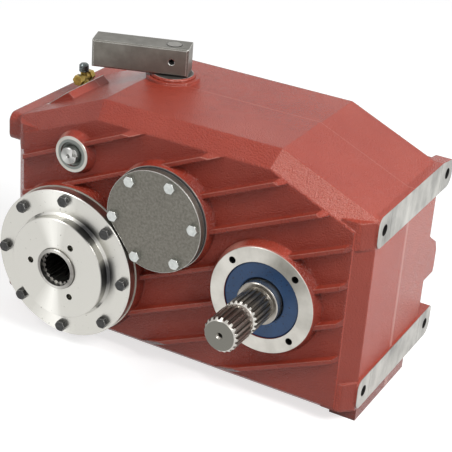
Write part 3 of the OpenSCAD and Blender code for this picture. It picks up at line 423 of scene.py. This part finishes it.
def paint_surface(finish):
    """Brick red enamel over a cast skin: fine orange peel over slow waves, with painted shade and painted
    highlights in its colour.
    """
    peel = finish.noise(480, 2.0, 0.6)
    cast = finish.noise(60, 3.0, 0.6)
    wave = finish.noise(9)
    sparkle = finish.noise(1300, 2.0, 0.6).above(0.52, 0.30)
    shape = PaintedShape(finish)
    corner, parting_line, relief, ends = shape.upright_corner(), shape.parting_line(), shape.relief(), shape.ends()

    tone = finish.blend(wave.above(0.5, 0.5), PAINT, PAINT_WORN)
    # Painted shade on the panels, the upright corner and the hollows; painted highlights on the sloping
    # corner, the crests, the parting, the ridge and the rear half of the ends.
    for share, coat in ((cast.above(0.60, 0.40) * 0.12, PAINT_DEEP),
                        (shape.panel() * 0.12, PANEL_SHADE),
                        (corner * 0.48, CORNER_SHADE),
                        (shape.sloping_corner() * sparkle * 0.42, SLOPE_SHEEN_HIGHLIGHT),
                        (shape.crest() * relief * 0.70, CREST_HIGHLIGHT),
                        (shape.hollow() * relief * 0.75, HOLLOW_SHADE),
                        (shape.foot() * 0.55, PAINT_FOOT),
                        (parting_line * 0.30, PARTING_HIGHLIGHT),
                        (shape.ridge() * ends * 0.42, RIDGE_HIGHLIGHT),
                        (shape.rear_half() * ends * 0.14, END_HIGHLIGHT)):
        tone = finish.blend(share, tone, coat)

    grain = finish.bump(cast, 0.0010, 0.5, finish.rounded(0.0042))
    grain = finish.bump(peel * (1.0 - corner * 0.6), 0.0022, 1.0, grain)
    grain = finish.bump(parting_line, 0.0003, 1.0, grain)
    return finish.surface(tone, 0.0, peel * 0.12 + 0.13, grain, specular=0.30)


def painted_plate():
    finish = Finish("painted_plate")
    return finish.done(paint_surface(finish))


# Casting: paint, with bare metal and holes over it


def milled_surface(finish, grain, tone, dark):
    stain = finish.noise(26, 4.0, 0.6)
    # grain darkens the skin: for the pads it holds milling streaks and seams, for faced bosses the painted
    # reflection fans.
    skin = finish.blend(grain.above(0.5, 0.5) * 0.55 + stain.above(0.55, 0.3) * 0.35, tone, dark)
    return finish.surface(skin, 0.9, grain * 0.2 + 0.3, finish.bump(grain, 0.00012, 0.5))


def pad_surface(finish):
    """Milled end pads, with long streaks and a dark line at each seam."""
    streak = finish.streaks((60, 900, 45), 3.0, 0.6)
    cloud = finish.streaks((10, 45, 12), 2.0, 0.5)
    seams = [abs(finish.y - seam).below(SOFT, CRISP) for seam in PAD_SEAMS]
    worn = (streak * 0.4 + cloud * 0.65).at_least((seams[0] + seams[1]) * 1.5)
    return milled_surface(finish, worn, (0.59, 0.58, 0.54), (0.10, 0.10, 0.092))


def faced_surface(finish):
    """Faced bosses, with bright fans about the input shaft: painted reflection in the colour, which also
    varies roughness and bump.
    """
    reflection_rays = finish.ray(INPUT, 50, 9) * 0.65 + finish.ray(INPUT, -12, 40) * 0.3
    reflection_fans = finish.fan(INPUT, 3.0) * 0.45 + reflection_rays + 0.12
    return milled_surface(finish, reflection_fans, (0.64, 0.62, 0.57), (0.24, 0.23, 0.20))


def end_pads(finish):
    right = finish.x.above(CASE_HIGH[0] - FACE_DEPTH, CRISP)
    left = finish.x.below(CASE_LOW[0] + FACE_DEPTH, CRISP)
    return (right + left).at_most(1.0)


def rail_face(finish):
    near = finish.radius(RAIL).below(RAIL_RING_RADIUS, SOFT)
    return near * finish.y.below(RAIL_FACE + FACE_DEPTH, CRISP)


def wedge_face(finish):
    """Sloping milled face under the breather."""
    lean = (finish.x - WEDGE_MID[0]) * -math.sin(WEDGE_ANGLE)
    lean = lean + (finish.z - WEDGE_MID[1]) * math.cos(WEDGE_ANGLE)
    face = abs(lean).below(FACE_DEPTH, CRISP) * finish.x.below(WEDGE_RIGHT, CRISP)
    return face * finish.y.above(WEDGE_FRONT, SOFT) * finish.y.below(WEDGE_BACK, SOFT)


def pad_holes(finish):
    half = [PAD["dims"][key] / MM_ACROSS for key in ("spacing_x_mm", "spacing_y_mm")]
    holes = finish.near_grid(finish.y, finish.z, PAD["pos_m"][1:], half)
    holes = holes.below(PAD_HOLE_RADIUS + HOLE_RIM, HOLE_RIM)
    return holes * abs(finish.x - CASE_MIDDLE).above(CASE_REACH - PAD_HOLE_DEPTH, CRISP)


def ring_holes(finish):
    """Four tapped holes about the input seal, on the diagonals."""
    half = FACE["dims"]["pcd_mm"] / MM_ACROSS * math.sqrt(0.5)
    holes = finish.near_grid(finish.x, finish.z, (INPUT[0], INPUT[2]), (half, half))
    return holes.below(TAPPED_RADIUS + HOLE_RIM, HOLE_RIM) * finish.y.below(TAPPED_END, CRISP)


def painted_casting():
    finish = Finish("painted_casting")
    bosses = finish.y.below(BOSS_FACE + FACE_DEPTH, CRISP)
    rail = rail_face(finish)
    faces = (bosses + rail + wedge_face(finish)).at_most(1.0)
    lip = finish.surface((0.20, 0.215, 0.20), 0.9, 0.36)
    lip_face = finish.radius(RAIL).below(RAIL_LIP_RADIUS, 0.0008) * rail
    bore = finish.surface((0.045, 0.042, 0.040), 0.7, 0.42)

    shader = finish.over(end_pads(finish), paint_surface(finish), pad_surface(finish))
    shader = finish.over(faces, shader, faced_surface(finish))
    shader = finish.over(lip_face, shader, lip)
    shader = finish.over(pad_holes(finish).at_least(ring_holes(finish)), shader, bore)
    return finish.done(shader)


# Steel and brass


def turned_steel(name, axis, tone, dark, rough, pitch=0.0011, fans=(82, 2.0)):
    """Steel faced on a lathe, with fine rings in its bump and bright fans about its axis painted into its
    colour as reflection.
    """
    finish = Finish(name)
    wear = finish.noise(30, 4.0, 0.6)
    # Painted reflection: bright fans about the axis.
    shine = finish.sweep(axis, *fans) * 0.65 + finish.fan(axis, 5.0) * 0.45
    skin = finish.blend(shine.above(0.45, 0.9) - wear * 0.15, dark, tone)
    rings = finish.bump(finish.rings(finish.radius(axis), pitch), 0.00005, 0.5, finish.rounded(0.0004))
    return finish.done(finish.surface(skin, 1.0, wear * 0.12 + rough, rings))


def faced_cover():
    """Output cover: bright fans on the faces and dark ones on the step, both painted reflection in its
    colour.
    """
    finish = Finish("faced_cover")
    radius = finish.radius(OUTPUT)
    wear = finish.noise(45, 4.0, 0.6)
    # Painted reflection: bright fans on the faces and dark fans on the step.
    shine = finish.ray(OUTPUT, 98, 26) + finish.ray(OUTPUT, 262, 26)
    shine = shine * 0.9 - finish.fan(OUTPUT, 5.0).above(0.5, 0.6) * 0.35
    skin = finish.blend(shine, (0.56, 0.55, 0.51), (0.92, 0.91, 0.86))
    step = radius.above(STEP_INNER, 0.0015) * radius.below(STEP_OUTER, 0.012)
    reflection_bands = finish.ray(OUTPUT, 58, 26) + finish.ray(OUTPUT, 6, 14) - finish.ray(OUTPUT, 33, 90) * 1.2
    reflection_bands = ((reflection_bands * step).at_least(0.0) * 1.15).at_most(0.96)
    skin = finish.blend(reflection_bands, skin, (0.035, 0.035, 0.037))
    stains = finish.noise(260, 1.0).above(0.74, 0.03) * 0.5
    skin = finish.blend(stains, skin, (0.16, 0.15, 0.13))
    rings = finish.bump(finish.rings(radius, 0.0009), 0.00005, 0.5, finish.rounded(0.0004))
    return finish.done(finish.surface(skin, 1.0, wear * 0.12 + 0.24, rings))


def plain_metal(name, tone, dark, rough, metallic=1.0, scale=60, soft=0.0008, bump=0.00012, worn=0.0):
    """Mottled metal, with its edges worn bright where worn is above 0."""
    finish = Finish(name)
    mottle = finish.noise(scale, 4.0, 0.62)
    fine = finish.noise(scale * 14, 2.0, 0.6)
    skin = finish.blend(mottle.above(0.5, 0.5), tone, dark)
    if worn:
        skin = finish.blend(finish.edges(soft) * worn, skin, (0.80, 0.79, 0.76))
    grain = finish.bump(fine + mottle, bump, 0.6, finish.rounded(soft))
    return finish.done(finish.surface(skin, metallic, mottle * 0.15 + rough, grain))


def splined_steel():
    """Input shaft: brown bare crests, bright turned parts, and painted shade that darkens the spline
    bottoms and a ring in the collar.
    """
    finish = Finish("splined_steel")
    radius = finish.radius(INPUT)
    wear = finish.noise(70, 4.0, 0.62)
    along = finish.streaks((500, 30, 500), 3.0, 0.6)
    splines = finish.y.below(SPLINE_END, 0.002)
    floor_shade = radius.below(SPLINE_ROOT, 0.0010) * splines
    rim = finish.y.below(SHAFT_TIP + 0.0036, 0.0016)
    neck = abs(finish.y - SHAFT_GROOVE).below(SHAFT_GROOVE_REACH, 0.0012)
    turned = neck.at_least(rim * 0.75).at_least(1.0 - splines)
    groove_shade = abs(radius - COLLAR_GROOVE).below(0.0010, 0.0012) * (1.0 - splines)
    tip = finish.y.below(SHAFT_TIP + 0.0004, 0.0003)

    skin = finish.blend(wear * 0.5 + along * 0.5, (0.40, 0.375, 0.335), (0.20, 0.182, 0.16))
    # Painted shade: the spline bottoms and a ring in the turned collar are darkened.
    skin = finish.blend(floor_shade * 0.65, skin, (0.09, 0.08, 0.068))
    skin = finish.blend(turned, skin, (0.58, 0.56, 0.52))
    skin = finish.blend(groove_shade * 0.9, skin, (0.07, 0.065, 0.06))
    skin = finish.blend(tip, skin, (0.17, 0.165, 0.145))
    grain = finish.bump(wear + along, 0.0001, 0.5, finish.rounded(0.0004))
    return finish.done(finish.surface(skin, 1.0, wear * 0.14 + 0.22, grain))


def shaft_end():
    """Lever shaft: grey steel with a dark line round its sawn top."""
    finish = Finish("shaft_end")
    wear = finish.noise(220, 4.0, 0.65)
    rim = finish.upright_radius(LEVER).above(LEVER_SHAFT_RADIUS - 0.0010, SOFT)
    skin = finish.blend(wear, (0.36, 0.35, 0.32), (0.19, 0.185, 0.17))
    skin = finish.blend(rim, skin, (0.05, 0.045, 0.04))
    return finish.done(finish.surface(skin, 0.8, wear * 0.2 + 0.3, finish.bump(wear, 0.0002, 0.5)))


def bush_in_boss():
    """Dark bush in the lever's boss, with the boss's paint over its rim and a pale broken line at its
    edge, a painted highlight.
    """
    finish = Finish("boss_cap")
    radius = finish.upright_radius(LEVER)
    wear = finish.noise(160, 4.0, 0.65)
    # Painted highlight: a pale line at the bush's edge, broken by noise.
    rim_highlight = abs(radius - BUSH_RADIUS).below(0.0007, SOFT) * wear.above(0.46, 0.1)
    skin = finish.blend(wear, (0.10, 0.092, 0.085), (0.045, 0.040, 0.036))
    skin = finish.blend(rim_highlight, skin, (0.55, 0.47, 0.43))
    bush = finish.surface(skin, 0.4, 0.5, finish.bump(wear, 0.0004, 0.6))
    painted = radius.above(BUSH_RADIUS + 0.0004, SOFT)
    return finish.done(finish.over(painted, bush, paint_surface(finish)))


# Seals


def seal_rubber():
    """Blue moulded seal with dark specks, darker towards the bore."""
    finish = Finish("blue_seal")
    wear = finish.noise(35, 4.0, 0.6)
    specks = finish.noise(420, 1.0).above(0.70, 0.04)
    dark = (finish.radius(INPUT).below(SEAL_LIP_RADIUS, 0.0012) + specks).at_most(1.0)
    skin = finish.blend(wear.above(0.55, 0.4), (0.010, 0.047, 0.130), (0.018, 0.068, 0.178))
    skin = finish.blend(dark, skin, (0.008, 0.012, 0.025))
    return finish.done(finish.surface(skin, 0.1, wear * 0.15 + 0.30, finish.bump(wear, 0.0003, 0.4)))


def dark_rubber():
    finish = Finish("dark_rubber")
    grain = finish.noise(300)
    skin = finish.blend(grain, (0.018, 0.018, 0.02), (0.0126, 0.0126, 0.014))
    return finish.done(finish.surface(skin, 0.0, 0.6, finish.bump(grain, 0.0001, 0.4)))


# Which node has which finish; the rest are bright steel

BRIGHT = plain_metal("bright_steel", (0.66, 0.66, 0.64), (0.50, 0.50, 0.48), 0.26)
ZINC = plain_metal("zinc_plate", (0.62, 0.64, 0.62), (0.42, 0.44, 0.42), 0.24, scale=200, worn=0.6)
GEAR = plain_metal("gear_steel", (0.36, 0.35, 0.33), (0.24, 0.23, 0.21), 0.3)
BRASS = plain_metal("brass", (0.52, 0.37, 0.10), (0.16, 0.11, 0.03), 0.26, scale=150)
BLACK = plain_metal("black_oxide", (0.075, 0.075, 0.074), (0.03, 0.03, 0.03), 0.30, metallic=0.75,
                    scale=260, soft=0.0010, worn=0.35)
PLATE = plain_metal("rolled_plate", (0.23, 0.22, 0.19), (0.12, 0.112, 0.095), 0.36, metallic=0.85,
                    scale=300, soft=0.0015, bump=0.0003, worn=0.8)
BAR = plain_metal("drawn_bar", (0.205, 0.197, 0.173), (0.14, 0.133, 0.115), 0.34, metallic=0.85,
                  soft=0.0016, bump=0.0002, worn=0.8)
# Painted shade: the lever pin's end is made near-black to read as the shade of the cross bore.
PIN_HOLE_SHADE = plain_metal("pin_end_hole_shade", (0.02, 0.02, 0.02), (0.01, 0.01, 0.01), 0.5, metallic=0.5)
CHROME = plain_metal("dark_chrome", (0.16, 0.18, 0.18), (0.03, 0.035, 0.035), 0.16, scale=90)
HUB = turned_steel("hub_steel", OUTPUT, (0.60, 0.59, 0.55), (0.16, 0.15, 0.14), 0.24)
SEAL_RING = turned_steel("seal_ring", RAIL, (0.22, 0.235, 0.22), (0.10, 0.11, 0.10), 0.34, pitch=0.0022)
RAIL_END = turned_steel("rail_steel", RAIL, (0.62, 0.62, 0.60), (0.22, 0.22, 0.21), 0.26, pitch=0.0016,
                        fans=(40, 1.0))

GROUPS = (
    (painted_casting(), "housing"),
    (painted_plate(), "rear_cover"),
    (faced_cover(), "output_cover"),
    (HUB, "output_hub"),
    (splined_steel(), "input_shaft"),
    (PLATE, "middle_cover"),
    (BAR, "shift_lever"),
    (BLACK, "output_cover_bolts"),
    (seal_rubber(), "input_seal"),
    (dark_rubber(), "output_seal middle_cover_gasket"),
    (BRASS, "breather_fitting output_gear_bush"),
    (CHROME, "breather_cap"),
    (SEAL_RING, "rail_seal"),
    (RAIL_END, "shift_rail"),
    (bush_in_boss(), "lever_bush"),
    (shaft_end(), "lever_shaft"),
    (PIN_HOLE_SHADE, "lever_pin"),
    (ZINC, "middle_cover_bolts rear_cover_bolts detent_plug drain_plug level_plug fork_pin crank_pin "
           "output_bearing_balls middle_bearing_balls input_bearing_balls detent_ball"),
    (GEAR, "output_gear countershaft_gear countershaft_pinion input_gear clutch_collar shift_fork "
           "shift_crank"),
)
FINISHES = {name: finish for finish, names in GROUPS for name in names.split()}

for name, piece in NODES.items():
    piece.data.materials.clear()
    piece.data.materials.append(FINISHES.get(name, BRIGHT))


# Bolts of the output cover, with the smaller heads of the real ones


def resize_head(bolts, x, z, flange):
    """Shrink the head of the bolt at x and z towards its axis."""
    bpy.ops.mesh.select_all(action="DESELECT")
    bpy.ops.object.mode_set(mode="OBJECT")
    for vertex in bolts.data.vertices:
        reach = math.hypot(vertex.co.x - x, vertex.co.z - z)
        vertex.select = BOLT_SHANK < reach < BOLT_REACH and vertex.co.y < flange + HEAD_SLACK
    bpy.ops.object.mode_set(mode="EDIT")
    bpy.ops.transform.resize(value=(HEAD_SHARE, 1, HEAD_SHARE), center_override=(x, flange, z))


def add_cover_bolts():
    source = NODES["output_cover_bolts"]
    bolts = source.copy()
    bolts.data = source.data.copy()
    bolts.name = "cover_bolts"
    bpy.context.scene.collection.objects.link(bolts)
    bpy.ops.object.select_all(action="DESELECT")
    bpy.context.view_layer.objects.active = bolts
    bolts.select_set(True)
    bpy.ops.object.mode_set(mode="EDIT")
    bpy.ops.mesh.select_mode(type="VERT")
    bpy.ops.mesh.select_all(action="SELECT")
    bpy.ops.mesh.remove_doubles(threshold=MERGE)
    flange = low_of("output_cover_bolts")[1] + BOLT_HEAD
    for turn in range(BOLT_COUNT):
        angle = 2 * math.pi * turn / BOLT_COUNT
        x = OUTPUT[0] + BOLT_CIRCLE * math.cos(angle)
        z = OUTPUT[2] + BOLT_CIRCLE * math.sin(angle)
        resize_head(bolts, x, z, flange)
    bpy.ops.object.mode_set(mode="OBJECT")
    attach(bolts, "housing")
    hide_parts("output_cover_bolts")


add_cover_bolts()


# Floor, light and camera


def add_floor():
    """Pale paper that keeps the shadow; what looks at it directly sees it white."""
    bpy.ops.object.select_all(action="DESELECT")
    bpy.ops.mesh.primitive_plane_add(size=FLOOR_SIZE, location=(MIDDLE[0], MIDDLE[1], CASE_LOW[2]))
    floor = bpy.context.object
    floor.name = "studio_floor"
    finish = Finish("studio_floor")
    paper = finish.node("BsdfDiffuse", sockets={"Color": opaque((FLOOR_TONE,) * 3)})
    glow = finish.node("Emission", sockets={"Strength": finish.seen_directly() * FLOOR_GLOW})
    floor.data.materials.append(finish.done(finish.node("AddShader", sockets={0: paper, 1: glow})))


def add_light(name, place, size, watts):
    """A square lamp that points at the middle of the part."""
    bpy.ops.object.select_all(action="DESELECT")
    bpy.ops.object.light_add(type="AREA", location=place)
    lamp = bpy.context.object
    lamp.name = name
    lamp.data.shape = "SQUARE"
    lamp.data.size = size
    lamp.data.energy = watts
    lean = [b - a for a, b in zip(place, MIDDLE)]
    flat = math.hypot(lean[0], lean[1])
    lamp.rotation_euler = (math.atan2(flat, -lean[2]), 0, math.atan2(lean[1], lean[0]) - math.pi / 2)


def light_world():
    """Even light of AMBIENT, seen as white."""
    world = bpy.data.worlds.new("studio")
    bpy.context.scene.world = world
    world.use_nodes = True
    graph = Graph(world.node_tree)
    strength = graph.seen_directly() * (1.0 - AMBIENT) + AMBIENT
    glow = graph.node("Background", sockets={"Color": opaque((1.0, 1.0, 1.0)), "Strength": strength})
    graph.node("OutputWorld", sockets={"Surface": glow})


def add_camera():
    bpy.ops.object.camera_add(location=CAMERA_PLACE)
    camera = bpy.context.object
    camera.rotation_euler = [math.radians(angle) for angle in CAMERA_TURN]
    camera.data.lens = CAMERA_LENS
    bpy.context.scene.camera = camera


add_floor()
light_world()
add_light("key", **KEY)
add_light("fill", **FILL)
add_camera()
bpy.context.scene.view_settings.view_transform = "Standard"
